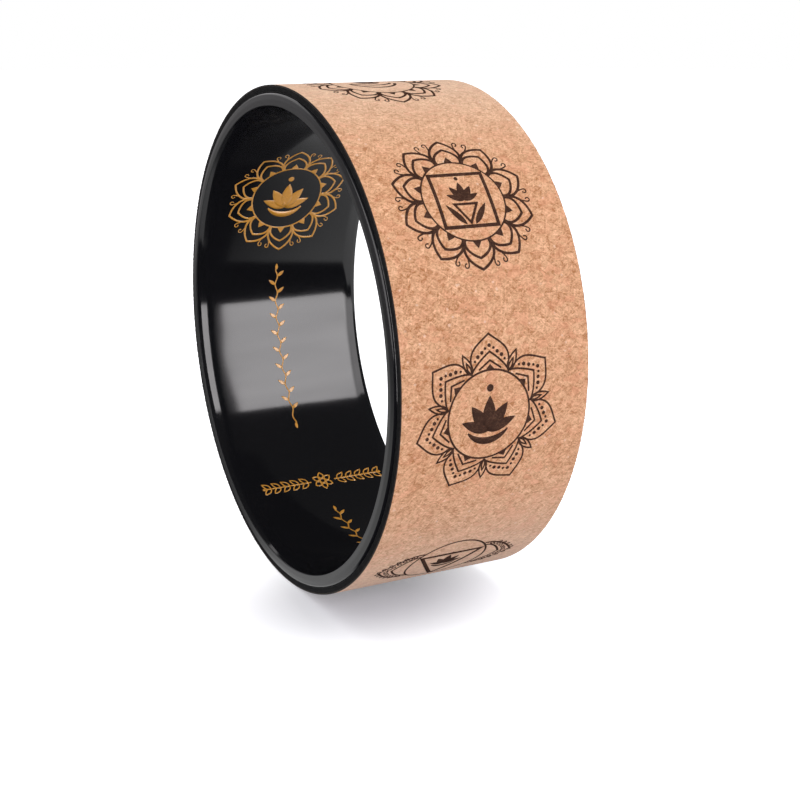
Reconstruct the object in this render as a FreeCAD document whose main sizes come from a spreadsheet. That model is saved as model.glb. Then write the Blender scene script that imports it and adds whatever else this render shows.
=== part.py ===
"""Yoga wheel: a moulded hoop with a padded cork tread, built up in bonded layers.

The wheel stands on its tread. Its axis is Y, Z is up, and the origin is the wheel's centre.
From the bore outwards the layers are the hoop, a bonding tape, a foam pad, an adhesive film and a cork skin.
The hoop is a little wider than the tread, so its rounded ends stand proud of the pad and the cork.
"""

import FreeCAD
import Part
import os

import Sketcher

FULL_TURN = 360.0
FOLDER = "parts"

# Driving dimensions, in millimetres and degrees.
SIZES = {
    # Whole wheel
    "outer_diameter": 330.0,
    "core_width": 130.0,
    # Tread
    "lip_proud": 2.0,
    "cork_thickness": 0.6,
    "cork_edge_round": 0.25,
    "cork_seam_gap": 0.3,
    "cork_seam_turn": 72.5,
    "film_thickness": 0.15,
    # Pad under the cork
    "pad_thickness": 3.0,
    "pad_seam_gap": 0.4,
    "pad_seam_turn": 117.5,
    "tape_thickness": 0.2,
    # Glue line left between one layer and the next
    "bond_line": 0.2,
    # Hoop
    "core_wall": 10.45,
    "lip_reach": 4.6,
    "lip_fall": 0.9,
    "lip_round": 1.3,
    "crown_round": 12.0,
    "mouth_length": 10.0,
    "mouth_rise": 1.4,
    "mouth_round": 0.7,
}

# Radii of the layers' faces, from the outside in, each worked out from the one outside it.
TREAD_RADIUS = "Sizes.outer_diameter / 2"
CORK_SEAT = TREAD_RADIUS + " - Sizes.cork_thickness"
FILM_RADIUS = CORK_SEAT + " - Sizes.bond_line"
FILM_SEAT = FILM_RADIUS + " - Sizes.film_thickness"
PAD_RADIUS = FILM_SEAT + " - Sizes.bond_line"
PAD_SEAT = PAD_RADIUS + " - Sizes.pad_thickness"
TAPE_RADIUS = PAD_SEAT + " - Sizes.bond_line"
TAPE_SEAT = TAPE_RADIUS + " - Sizes.tape_thickness"
CORE_RADIUS = TAPE_SEAT + " - Sizes.bond_line"
BORE_RADIUS = CORE_RADIUS + " - Sizes.core_wall"
MOUTH_RADIUS = BORE_RADIUS + " + Sizes.mouth_rise"
CROWN_RADIUS = CORE_RADIUS + " - Sizes.lip_reach"

# Lengths along the axis.
TREAD_WIDTH = "Sizes.core_width - 2 * Sizes.lip_proud"
BORE_LENGTH = "Sizes.core_width - 2 * Sizes.mouth_length"
LIP_WIDTH = "Sizes.core_width - 2 * Sizes.lip_fall"

# Ends of a sketch line or arc, as the constraints number them.
START = 1
END = 2
ORIGIN = -1
AXIS_V = -2


def make_sheet(doc):
    """The sheet of driving dimensions, one named cell a row."""
    sheet = doc.addObject("Spreadsheet::Sheet", "Sizes")
    for row, (name, value) in enumerate(SIZES.items(), start=1):
        sheet.set(f"A{row}", name)
        sheet.set(f"B{row}", str(value))
        sheet.setAlias(f"B{row}", name)
    doc.recompute()
    return sheet


def value_of(sheet, expression):
    """An expression over the sheet's cells, worked out now, to place a sketch's first guess."""
    return float(sheet.evalExpression(expression.replace("Sizes.", "")))


def new_body(doc, name):
    """A body whose label names its file."""
    body = doc.addObject("PartDesign::Body", name)
    body.Label = name
    return body


def profile_sketch(body, name):
    """A sketch on the plane through the axis: sketch X is along the wheel's axis and sketch Y is the radius."""
    sketch = body.newObject("Sketcher::SketchObject", name)
    plane = next(p for p in body.Origin.OriginFeatures if p.Role == "YZ_Plane")
    sketch.AttachmentSupport = (plane, [""])
    sketch.MapMode = "FlatFace"
    return sketch


def drive(sketch, kind, refs, sheet, expression):
    """Adds a dimension to the sketch and binds it to the sheet."""
    index = sketch.addConstraint(Sketcher.Constraint(kind, *refs, value_of(sheet, expression)))
    sketch.setExpression(f"Constraints[{index}]", expression)


def join_ends(sketch, first, second):
    """The end of one sketch line is the start of the next."""
    sketch.addConstraint(Sketcher.Constraint("Coincident", first, END, second, START))


def band_profile(body, sheet, width, inner, outer):
    """A layer's section: a plain rectangle, centred along the axis."""
    sketch = profile_sketch(body, body.Name + "_section")
    half = value_of(sheet, width) / 2
    low = value_of(sheet, inner)
    high = value_of(sheet, outer)
    corners = [(-half, low), (half, low), (half, high), (-half, high)]
    points = [FreeCAD.Vector(x, y, 0) for x, y in corners]
    for near, far in zip(points, points[1:] + points[:1]):
        sketch.addGeometry(Part.LineSegment(near, far), False)
    bottom, right, top, left = range(len(points))
    for first, second in ((bottom, right), (right, top), (top, left), (left, bottom)):
        join_ends(sketch, first, second)
    sketch.addConstraint(Sketcher.Constraint("Horizontal", top))
    sketch.addConstraint(Sketcher.Constraint("Vertical", right))
    sketch.addConstraint(Sketcher.Constraint("Vertical", left))
    sketch.addConstraint(Sketcher.Constraint("Symmetric", bottom, START, bottom, END, AXIS_V))
    drive(sketch, "DistanceX", (bottom, START, bottom, END), sheet, width)
    drive(sketch, "DistanceY", (ORIGIN, START, bottom, START), sheet, inner)
    drive(sketch, "DistanceY", (ORIGIN, START, top, START), sheet, outer)
    return sketch


def core_profile(body, sheet):
    """The hoop's section: a straight bore between two bell mouths, ends that fall back to the lips, and the outside."""
    sketch = profile_sketch(body, body.Name + "_section")
    half_bore = value_of(sheet, BORE_LENGTH) / 2
    half_width = value_of(sheet, "Sizes.core_width") / 2
    half_lip = value_of(sheet, LIP_WIDTH) / 2
    bore = value_of(sheet, BORE_RADIUS)
    mouth = value_of(sheet, MOUTH_RADIUS)
    crown = value_of(sheet, CROWN_RADIUS)
    outside = value_of(sheet, CORE_RADIUS)
    # Each bell mouth is an arc that leaves the bore at a tangent and ends at the mouth's edge.
    length = half_width - half_bore
    rise = mouth - bore
    bell = (length**2 + rise**2) / (2 * rise)
    share_along = 0.5
    middle_rise = bell - (bell**2 - (share_along * length) ** 2) ** 0.5

    def bell_arc(start, middle, end):
        return Part.Arc(*(FreeCAD.Vector(x, y, 0) for x, y in (start, middle, end)))

    def line(start, end):
        return Part.LineSegment(FreeCAD.Vector(*start, 0), FreeCAD.Vector(*end, 0))

    middle = half_bore + share_along * length
    bore_line = sketch.addGeometry(line((-half_bore, bore), (half_bore, bore)), False)
    right_bell = sketch.addGeometry(
        bell_arc((half_bore, bore), (middle, bore + middle_rise), (half_width, mouth)), False
    )
    right_end = sketch.addGeometry(line((half_width, mouth), (half_width, crown)), False)
    right_lip = sketch.addGeometry(line((half_width, crown), (half_lip, outside)), False)
    outer_line = sketch.addGeometry(line((half_lip, outside), (-half_lip, outside)), False)
    left_lip = sketch.addGeometry(line((-half_lip, outside), (-half_width, crown)), False)
    left_end = sketch.addGeometry(line((-half_width, crown), (-half_width, mouth)), False)
    left_bell = sketch.addGeometry(
        bell_arc((-half_width, mouth), (-middle, bore + middle_rise), (-half_bore, bore)), False
    )
    # The right bell's centre is above the bore, so its arc runs counterclockwise from the bore outwards.
    sketch.addConstraint(Sketcher.Constraint("Tangent", bore_line, END, right_bell, START))
    join_ends(sketch, right_bell, right_end)
    join_ends(sketch, right_end, right_lip)
    join_ends(sketch, right_lip, outer_line)
    join_ends(sketch, outer_line, left_lip)
    join_ends(sketch, left_lip, left_end)
    join_ends(sketch, left_end, left_bell)
    sketch.addConstraint(Sketcher.Constraint("Tangent", left_bell, END, bore_line, START))
    sketch.addConstraint(Sketcher.Constraint("Vertical", right_end))
    sketch.addConstraint(Sketcher.Constraint("Vertical", left_end))
    sketch.addConstraint(Sketcher.Constraint("Symmetric", bore_line, START, bore_line, END, AXIS_V))
    sketch.addConstraint(Sketcher.Constraint("Symmetric", outer_line, START, outer_line, END, AXIS_V))
    drive(sketch, "DistanceX", (bore_line, START, bore_line, END), sheet, BORE_LENGTH)
    sketch.addConstraint(Sketcher.Constraint("Symmetric", left_end, START, right_end, END, AXIS_V))
    drive(sketch, "DistanceX", (outer_line, END, outer_line, START), sheet, LIP_WIDTH)
    drive(sketch, "DistanceX", (left_end, START, right_end, END), sheet, "Sizes.core_width")
    drive(sketch, "DistanceY", (ORIGIN, START, bore_line, START), sheet, BORE_RADIUS)
    drive(sketch, "DistanceY", (ORIGIN, START, right_end, START), sheet, MOUTH_RADIUS)
    drive(sketch, "DistanceY", (ORIGIN, START, left_end, END), sheet, MOUTH_RADIUS)
    drive(sketch, "DistanceY", (ORIGIN, START, right_end, END), sheet, CROWN_RADIUS)
    drive(sketch, "DistanceY", (ORIGIN, START, outer_line, START), sheet, CORE_RADIUS)
    return sketch


def revolve(body, sketch, turn):
    """Turns the section about the wheel's axis, evenly to both sides of its plane."""
    ring = body.newObject("PartDesign::Revolution", body.Name + "_ring")
    ring.Profile = sketch
    ring.ReferenceAxis = (sketch, ["H_Axis"])
    ring.Midplane = True
    ring.setExpression("Angle", turn)
    return ring


def round_edges(doc, body, ring, sheet, name, radius, places):
    """Rounds the circular edges that lie at the given (radius, distance along the axis) places."""
    doc.recompute()
    wanted = [(value_of(sheet, r), value_of(sheet, y)) for r, y in places]
    tolerance = min(SIZES.values()) / 100
    chosen = []
    for number, edge in enumerate(ring.Shape.Edges, start=1):
        if not isinstance(edge.Curve, Part.Circle) or abs(abs(edge.Curve.Axis.y) - 1) > tolerance:
            continue
        at = (edge.Curve.Radius, edge.Curve.Center.y)
        if any(abs(at[0] - r) < tolerance and abs(at[1] - y) < tolerance for r, y in wanted):
            chosen.append(f"Edge{number}")
    fillet = body.newObject("PartDesign::Fillet", body.Name + name)
    fillet.Base = (ring, chosen)
    fillet.setExpression("Radius", radius)
    return fillet


def seam_turn(gap, at_radius):
    """The turn that a wrapped strip covers when its two ends stop a gap apart."""
    return f"{FULL_TURN} - ({gap}) / ({at_radius}) * 180 / pi"


def wrapped_band(doc, sheet, name, inner, outer, gap, seam):
    """A strip wound once round the wheel, with a butt seam turned to its place."""
    body = new_body(doc, name)
    sketch = band_profile(body, sheet, TREAD_WIDTH, inner, outer)
    ring = revolve(body, sketch, seam_turn(gap, outer))
    body.Placement = FreeCAD.Placement(
        FreeCAD.Vector(), FreeCAD.Rotation(FreeCAD.Vector(0, 1, 0), value_of(sheet, seam))
    )
    body.setExpression("Placement.Rotation.Angle", seam)
    return body, ring


def core_ring(doc, sheet):
    """The moulded hoop: at each end a gently crowned face, with its lip and its mouth's edge rounded."""
    body = new_body(doc, "core_ring")
    ring = revolve(body, core_profile(body, sheet), str(FULL_TURN))
    ends = ("Sizes.core_width / 2", "-Sizes.core_width / 2")
    crowns = round_edges(
        doc, body, ring, sheet, "_crown_round", "Sizes.crown_round", [(CROWN_RADIUS, y) for y in ends]
    )
    corners = [f"{sign}({LIP_WIDTH}) / 2" for sign in ("", "-")]
    lips = round_edges(
        doc, body, crowns, sheet, "_lip_round", "Sizes.lip_round", [(CORE_RADIUS, y) for y in corners]
    )
    round_edges(
        doc, body, lips, sheet, "_mouth_round", "Sizes.mouth_round", [(MOUTH_RADIUS, y) for y in ends]
    )
    return body


def bonding_tape(doc, sheet):
    """The tape on the pad's back that holds it to the hoop."""
    body, _ = wrapped_band(
        doc, sheet, "bonding_tape", TAPE_SEAT, TAPE_RADIUS, "Sizes.pad_seam_gap", "Sizes.pad_seam_turn"
    )
    return body


def cushion_pad(doc, sheet):
    """The foam strip, square at its edges."""
    body, _ = wrapped_band(
        doc, sheet, "cushion_pad", PAD_SEAT, PAD_RADIUS, "Sizes.pad_seam_gap", "Sizes.pad_seam_turn"
    )
    return body


def adhesive_film(doc, sheet):
    """The film on the cork's back that holds it to the pad."""
    body, _ = wrapped_band(
        doc, sheet, "adhesive_film", FILM_SEAT, FILM_RADIUS, "Sizes.cork_seam_gap", "Sizes.cork_seam_turn"
    )
    return body


def cork_tread(doc, sheet):
    """The cork skin, with its outer edges rounded."""
    body, ring = wrapped_band(
        doc, sheet, "cork_tread", CORK_SEAT, TREAD_RADIUS, "Sizes.cork_seam_gap", "Sizes.cork_seam_turn"
    )
    ends = [f"{sign}({TREAD_WIDTH}) / 2" for sign in ("", "-")]
    round_edges(
        doc, body, ring, sheet, "_edge_round", "Sizes.cork_edge_round", [(TREAD_RADIUS, y) for y in ends]
    )
    return body


def check(doc, bodies):
    """Stops if any feature failed or any piece isn't one sound solid."""
    for thing in doc.Objects:
        if "Invalid" in thing.State or "Error" in thing.State:
            raise RuntimeError(f"{thing.Name} failed: {thing.State}")
    for body in bodies:
        shape = body.Shape
        if shape.isNull() or not shape.isValid() or len(shape.Solids) != 1:
            raise RuntimeError(f"{body.Label} is not one sound solid")


def main():
    """Builds every layer, checks it and writes its file."""
    doc = FreeCAD.newDocument("YogaWheel")
    sheet = make_sheet(doc)
    makers = (core_ring, bonding_tape, cushion_pad, adhesive_film, cork_tread)
    bodies = [make(doc, sheet) for make in makers]
    doc.recompute()
    check(doc, bodies)
    os.makedirs(FOLDER, exist_ok=True)
    for body in bodies:
        body.Shape.exportStep(os.path.join(FOLDER, body.Label + ".step"))
        box = body.Shape.optimalBoundingBox(False)
        print(
            f"{body.Label}: {box.XLength:.2f} x {box.YLength:.2f} x {box.ZLength:.2f} mm,"
            f" {body.Shape.Volume / 1000:.2f} cm3"
        )


main()
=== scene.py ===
"""Looks of the yoga wheel: a gloss black hoop with a printed cork tread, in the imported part's own frame.

The wheel's axis is Y and Z is up. An angle round the wheel is measured from +X towards +Z, so 90 degrees is
the top. Lengths are in metres. Prints are thin closed ribbons laid on the cork and in the bore.
"""

import logging
import math
from dataclasses import dataclass, field
from enum import Enum

import bpy
import numpy as np
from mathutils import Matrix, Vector


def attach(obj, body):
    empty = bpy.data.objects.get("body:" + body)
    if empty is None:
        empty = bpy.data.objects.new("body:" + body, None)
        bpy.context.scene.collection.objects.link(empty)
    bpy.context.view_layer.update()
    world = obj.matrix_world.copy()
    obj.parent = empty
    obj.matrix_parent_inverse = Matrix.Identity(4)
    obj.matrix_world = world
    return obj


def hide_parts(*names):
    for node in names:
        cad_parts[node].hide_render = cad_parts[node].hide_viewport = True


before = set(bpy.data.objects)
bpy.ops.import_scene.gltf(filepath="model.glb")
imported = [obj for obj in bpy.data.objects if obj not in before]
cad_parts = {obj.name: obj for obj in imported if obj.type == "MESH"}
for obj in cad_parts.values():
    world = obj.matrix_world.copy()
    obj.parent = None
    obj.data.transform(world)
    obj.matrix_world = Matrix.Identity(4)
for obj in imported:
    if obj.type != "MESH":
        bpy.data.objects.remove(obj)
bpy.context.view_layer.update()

LOG = logging.getLogger("yoga_wheel")
Array = np.ndarray
Colour = tuple[float, float, float]
Socket = bpy.types.NodeSocket
MM = 0.001
ROOT = "root"
PLASTIC_IOR = 1.53


# Curves in the plane

def bezier(p0: tuple, p1: tuple, p2: tuple, p3: tuple, count: int = 24) -> Array:
    """A cubic curve: the four points weighted by the Bernstein polynomials of t from 0 to 1.

    Args:
        p0: Start.
        p1: First control point.
        p2: Second control point.
        p3: End.
        count: How many points to return.

    Returns:
        Points on the curve, one row each.
    """
    t = np.linspace(0.0, 1.0, count)[:, None]
    s = 1.0 - t
    ends = np.array([p0, p1, p2, p3], float)
    return s**3 * ends[0] + 3 * s**2 * t * ends[1] + 3 * s * t**2 * ends[2] + t**3 * ends[3]


def arc(centre: tuple, radius: float, first: float, last: float, count: int = 16) -> Array:
    """A circular arc: the centre plus the radius times the cosine and sine of an angle in degrees.

    Args:
        centre: Middle of the circle.
        radius: Its radius.
        first: First angle.
        last: Last angle.
        count: How many points to return.

    Returns:
        Points on the arc, one row each.
    """
    t = np.radians(np.linspace(first, last, count))
    return np.column_stack([centre[0] + radius * np.cos(t), centre[1] + radius * np.sin(t)])


def straight(start: tuple, end: tuple, step: float = 2.0) -> Array:
    """A straight line cut into even steps no longer than the one given.

    Args:
        start: First point.
        end: Last point.
        step: Longest step.

    Returns:
        Points on the line, one row each.
    """
    a, b = np.array(start, float), np.array(end, float)
    count = max(2, int(np.ceil(np.linalg.norm(b - a) / step)) + 1)
    t = np.linspace(0.0, 1.0, count)[:, None]
    return a + (b - a) * t


def joined(*parts: Array) -> Array:
    """The parts end to end, with each shared end kept once."""
    return np.vstack([parts[0]] + [p[1:] for p in parts[1:]])


def flipped(points: Array) -> Array:
    """The points mirrored in the upright line through the middle, in reverse order."""
    return points[::-1] * np.array([-1.0, 1.0])


def turned(points: Array, degrees: float) -> Array:
    """The points turned about the middle, counterclockwise."""
    c, s = math.cos(math.radians(degrees)), math.sin(math.radians(degrees))
    return points @ np.array([[c, s], [-s, c]])


# Faces

# A quad's corners the other way round, from the same first one
REVERSED = [0, 3, 2, 1]


def between_rings(here: Array, ahead: Array, size: int) -> Array:
    """Quads between closed rings of points, which follow each other in the list of points.

    Args:
        here: Numbers of the rings that the quads start from.
        ahead: Number of the ring that each of them goes to.
        size: Points in a ring.

    Returns:
        Four corners a face.
    """
    k = np.arange(size)
    after = (k + 1) % size
    a, b = here[:, None] * size, ahead[:, None] * size
    return np.stack([a + k, a + after, b + after, b + k], axis=-1).reshape(-1, 4)


# Printed shapes

@dataclass(frozen=True)
class Line:
    """A printed line of a given width in millimetres, even or changing along it."""

    path: Array
    width: Array | float
    closed: bool = False

    def turned(self, degrees: float) -> "Line":
        """The same line turned about the middle."""
        return Line(turned(self.path, degrees), self.width, self.closed)

    def shell(self, base: float, top: float) -> tuple[Array, Array, Array]:
        """A ribbon: four corners carried along the path, at mitred half widths to its left and right.

        Args:
            base: Height of the ribbon's underside.
            top: Height of its upper side.

        Returns:
            Points (across, along, height), quads and triangles.
        """
        p = self.path
        n = len(p)
        step = np.roll(p, -1, axis=0) - p
        if not self.closed:
            step[-1] = step[-2]
        step = step / np.linalg.norm(step, axis=1)[:, None]
        left = np.column_stack([-step[:, 1], step[:, 0]])
        before = np.roll(left, 1, axis=0)
        if not self.closed:
            before[0] = left[0]
        sharpest = 0.35
        mitre = (left + before) / np.maximum(1.0 + np.sum(left * before, axis=1), sharpest)[:, None]
        half = np.broadcast_to(np.asarray(self.width, float) / 2, (n,))[:, None]
        low, high = np.full((n, 1), base), np.full((n, 1), top)
        sides = (p + mitre * half, p - mitre * half)
        corners = [np.hstack([sides[0], low]), np.hstack([sides[1], low])]
        corners += [np.hstack([sides[1], high]), np.hstack([sides[0], high])]
        points = np.stack(corners, axis=1).reshape(-1, 3)
        here = np.arange(n if self.closed else n - 1)
        ahead = (here + 1) % n
        quads = between_rings(here, ahead, 4)[:, REVERSED]
        if not self.closed:
            end = 4 * (n - 1)
            quads = np.vstack([quads, [[0, 1, 2, 3]], [[end + 3, end + 2, end + 1, end]]])
        return points, quads, np.empty((0, 3), int)


@dataclass(frozen=True)
class Patch:
    """A printed solid shape, given by an outline that its own middle can see all of."""

    outline: Array

    def turned(self, degrees: float) -> "Patch":
        """The same shape turned about the middle of the design."""
        return Patch(turned(self.outline, degrees))

    def shell(self, base: float, top: float) -> tuple[Array, Array, Array]:
        """A tablet: rings of the outline shrunk towards its middle on top, a wall, and a flat underside.

        Args:
            base: Height of the underside.
            top: Height of the upper side.

        Returns:
            Points (across, along, height), quads and triangles.
        """
        edge = self.outline
        x, y = edge[:, 0], edge[:, 1]
        if np.sum(x * np.roll(y, -1) - y * np.roll(x, -1)) < 0:
            edge = edge[::-1]
        n = len(edge)
        middle = edge.mean(axis=0)
        shares = np.array([1.0, 0.66, 0.33])
        rings = [np.hstack([edge, np.full((n, 1), base)])]
        rings += [np.hstack([middle + (edge - middle) * s, np.full((n, 1), top)]) for s in shares]
        points = np.vstack(rings + [[[*middle, top]], [[*middle, base]]])
        here = np.arange(n)
        ahead = (here + 1) % n
        rank = np.arange(len(shares))
        quads = between_rings(rank, rank + 1, n)
        crown, foot = len(points) - 2, len(points) - 1
        inner = len(shares) * n
        tris = np.vstack(
            [
                np.column_stack([inner + here, inner + ahead, np.full(n, crown)]),
                np.column_stack([ahead, here, np.full(n, foot)]),
            ]
        )
        return points, quads, tris


Mark = Line | Patch


def dot(x: float, y: float, radius: float) -> Patch:
    """A round dot."""
    return Patch(arc((x, y), radius, 0.0, 330.0, 12))


def leaf(length: float, half_width: float, foot: float = 0.0) -> Array:
    """A pointed leaf that stands on a foot and points up: two mirrored cubic curves.

    Args:
        length: From foot to tip.
        half_width: Its widest half width.
        foot: Height of the foot.

    Returns:
        A closed outline, without its first point again.
    """
    side = bezier(
        (0.0, foot),
        (1.55 * half_width, foot + 0.25 * length),
        (0.95 * half_width, foot + 0.7 * length),
        (0.0, foot + length),
        14,
    )
    return np.vstack([side, flipped(side)[1:-1]])


# Meshes

def new_object(name: str, points: Array, quads: Array, tris: Array) -> bpy.types.Object:
    """Makes a mesh object at the origin, with faces turned outwards.

    Args:
        name: The piece's name.
        points: Places of the corners.
        quads: Four corners a face.
        tris: Three corners a face.

    Returns:
        The new object, linked to the scene.
    """
    fans = np.vstack([quads[:, [0, 1, 2]], quads[:, [0, 2, 3]], tris]).astype(int)
    a, b, c = (points[fans[:, k]] for k in range(3))
    if np.sum(a * np.cross(b, c)) < 0:
        quads, tris = quads[:, ::-1], tris[:, ::-1]
    mesh = bpy.data.meshes.new(name)
    corners = np.concatenate([quads.ravel(), tris.ravel()]).astype(np.int32)
    sizes = np.concatenate([np.full(len(quads), 4), np.full(len(tris), 3)]).astype(np.int32)
    starts = np.concatenate([[0], np.cumsum(sizes)[:-1]]).astype(np.int32)
    mesh.vertices.add(len(points))
    mesh.vertices.foreach_set("co", np.ascontiguousarray(points, dtype=np.float32).ravel())
    mesh.loops.add(len(corners))
    mesh.loops.foreach_set("vertex_index", corners)
    mesh.polygons.add(len(sizes))
    mesh.polygons.foreach_set("loop_start", starts)
    mesh.update(calc_edges=True)
    mesh.validate()
    obj = bpy.data.objects.new(name, mesh)
    bpy.context.scene.collection.objects.link(obj)
    return obj


def smooth(obj: bpy.types.Object, degrees: float = 35.0) -> None:
    """Shades the mesh smooth, apart from edges sharper than the angle."""
    obj.data.shade_smooth()
    obj.data.set_sharp_from_angle(angle=math.radians(degrees))


def lathe(profile: Array, angles: Array, closed: bool) -> tuple[Array, Array, Array]:
    """A turned solid: each profile point (along, radius) carried round the axis through every angle.

    Args:
        profile: A closed loop of points, the same at every angle, or one loop for each angle.
        angles: Angles in radians.
        closed: Whether the last angle joins the first.

    Returns:
        Points, quads and triangles, with the two cut ends closed if it isn't a full turn.
    """
    n, m = len(angles), profile.shape[-2]
    loop = np.broadcast_to(profile, (n, m, 2))
    along, radius = loop[..., 0], loop[..., 1]
    turn = angles[:, None]
    points = np.stack([radius * np.cos(turn), along, radius * np.sin(turn)], axis=-1).reshape(-1, 3)
    here = np.arange(n if closed else n - 1)
    ahead = (here + 1) % n
    quads = between_rings(here, ahead, m)
    tris = np.empty((0, 3), int)
    if not closed:
        k = np.arange(m)
        after = (k + 1) % m
        count = len(points)
        first, last = points[:m].mean(axis=0), points[-m:].mean(axis=0)
        points = np.vstack([points, first, last])
        end = (n - 1) * m
        tris = np.vstack(
            [
                np.column_stack([after, k, np.full(m, count)]),
                np.column_stack([end + k, end + after, np.full(m, count + 1)]),
            ]
        )
    return points, quads, tris


def ripple(angles: Array, seed: int, lowest: int, highest: int) -> Array:
    """A wavering line round the wheel: many sine waves of whole periods and random phase, about 1 high.

    Args:
        angles: Angles in radians.
        seed: Fixes the phases.
        lowest: Fewest waves in a turn.
        highest: Most waves in a turn.

    Returns:
        One height an angle.
    """
    rng = np.random.default_rng(seed)
    count = 28
    waves = rng.integers(lowest, highest, count)
    phases = rng.uniform(0.0, 2 * math.pi, count)
    sizes = rng.uniform(0.3, 1.0, count)
    total = np.sum(sizes * np.sin(angles[:, None] * waves + phases), axis=1)
    return total / np.sqrt(np.sum(sizes**2))


# Finishes

class Bench:
    """A material's node tree, with short ways to add and join nodes."""

    def __init__(self, tree: bpy.types.NodeTree) -> None:
        """Takes the tree to work on."""
        self.tree = tree

    def add(self, kind: str, **values: object) -> bpy.types.Node:
        """Adds a node.

        Args:
            kind: The node's type.
            values: Its own settings.

        Returns:
            The new node.
        """
        node = self.tree.nodes.new(kind)
        for name, value in values.items():
            setattr(node, name, value)
        return node

    def feed(self, socket: Socket, source: object) -> None:
        """Joins an output to a socket, or sets the socket's own value."""
        if isinstance(source, bpy.types.NodeSocket):
            self.tree.links.new(source, socket)
        else:
            socket.default_value = source

    def sums(self, operation: str, a: object, b: object = 0.0) -> Socket:
        """A Math node.

        Args:
            operation: Its operation.
            a: First value or output.
            b: Second value or output.

        Returns:
            Its output.
        """
        node = self.add("ShaderNodeMath", operation=operation)
        self.feed(node.inputs[0], a)
        self.feed(node.inputs[1], b)
        return node.outputs[0]

    def plus(self, a: object, b: object) -> Socket:
        """The sum of two values."""
        return self.sums("ADD", a, b)

    def minus(self, a: object, b: object) -> Socket:
        """The first value less the second."""
        return self.sums("SUBTRACT", a, b)

    def times(self, a: object, b: object) -> Socket:
        """The product of two values."""
        return self.sums("MULTIPLY", a, b)

    def split(self, vector: Socket) -> bpy.types.NodeOutputs:
        """The three parts of a vector."""
        node = self.add("ShaderNodeSeparateXYZ")
        self.feed(node.inputs[0], vector)
        return node.outputs

    def span(
        self,
        value: object,
        low: float,
        high: float,
        to_low: float = 0.0,
        to_high: float = 1.0,
        kind: str = "SMOOTHSTEP",
    ) -> Socket:
        """A Map Range node, which eases from one range to another unless it is told how to go.

        Args:
            value: What is read.
            low: Start of its range.
            high: End of its range.
            to_low: Result at the start.
            to_high: Result at the end.
            kind: How it goes between them.

        Returns:
            Its output.
        """
        node = self.add("ShaderNodeMapRange", interpolation_type=kind)
        for socket, source in zip(node.inputs, (value, low, high, to_low, to_high)):
            self.feed(socket, source)
        return node.outputs[0]

    def ramp(self, *values: object) -> Socket:
        """A span, with the same values, that goes evenly."""
        return self.span(*values, kind="LINEAR")

    def blend(self, factor: object, a: object, b: object, how: str = "MIX") -> Socket:
        """A colour Mix node.

        Args:
            factor: How much of the second.
            a: First colour.
            b: Second colour.
            how: Its blend type.

        Returns:
            Its output.
        """
        node = self.add("ShaderNodeMix", data_type="RGBA", blend_type=how)
        self.feed(node.inputs[0], factor)
        self.feed(node.inputs[6], a if isinstance(a, bpy.types.NodeSocket) else (*a, 1.0))
        self.feed(node.inputs[7], b if isinstance(b, bpy.types.NodeSocket) else (*b, 1.0))
        return node.outputs[2]

    def noise(self, place: Socket, scale: float, detail: float = 2.0, rough: float = 0.5) -> Socket:
        """A noise texture's value.

        Args:
            place: Coordinates.
            scale: Features a metre.
            detail: Octaves.
            rough: How strong the fine ones are.

        Returns:
            Its output.
        """
        node = self.add("ShaderNodeTexNoise")
        self.feed(node.inputs["Vector"], place)
        for name, value in (("Scale", scale), ("Detail", detail), ("Roughness", rough)):
            node.inputs[name].default_value = value
        return node.outputs[0]

    def cells(self, place: Socket, scale: float) -> bpy.types.Node:
        """A cell texture of the given cells a metre."""
        node = self.add("ShaderNodeTexVoronoi")
        self.feed(node.inputs["Vector"], place)
        node.inputs["Scale"].default_value = scale
        return node

    def bump(self, height: Socket, strength: float, reach: float, under: Socket | None = None) -> Socket:
        """A Bump node's normal.

        Args:
            height: Heights from 0 to 1.
            strength: Its strength.
            reach: What a height of 1 stands for, in metres.
            under: Another normal, which it lies over.

        Returns:
            Its output.
        """
        node = self.add("ShaderNodeBump")
        node.inputs["Strength"].default_value = strength
        node.inputs["Distance"].default_value = reach
        self.feed(node.inputs["Height"], height)
        if under is not None:
            self.feed(node.inputs["Normal"], under)
        return node.outputs[0]

    def glow(self, strength: Socket, tint: Colour = (1.0, 1.0, 1.0)) -> Socket:
        """An Emission shader of the given strength and tint."""
        node = self.add("ShaderNodeEmission")
        node.inputs[0].default_value = (*tint, 1.0)
        self.feed(node.inputs[1], strength)
        return node.outputs[0]


def new_group(name: str, inputs: dict[str, float], outputs: tuple[str, ...]) -> tuple[Bench, dict, dict]:
    """Starts a shader node group with float sockets.

    Args:
        name: The group's name.
        inputs: Input names and their usual values.
        outputs: Output names.

    Returns:
        The bench for its tree, its inputs as outputs of the input node, and its outputs' sockets.
    """
    tree = bpy.data.node_groups.new(name, "ShaderNodeTree")
    tree.interface.new_socket("Place", in_out="INPUT", socket_type="NodeSocketVector")
    for label, value in inputs.items():
        socket = tree.interface.new_socket(label, in_out="INPUT", socket_type="NodeSocketFloat")
        socket.default_value = value
    for label in outputs:
        tree.interface.new_socket(label, in_out="OUTPUT", socket_type="NodeSocketFloat")
    bench = Bench(tree)
    source, sink = bench.add("NodeGroupInput"), bench.add("NodeGroupOutput")
    return bench, source.outputs, sink.inputs


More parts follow.
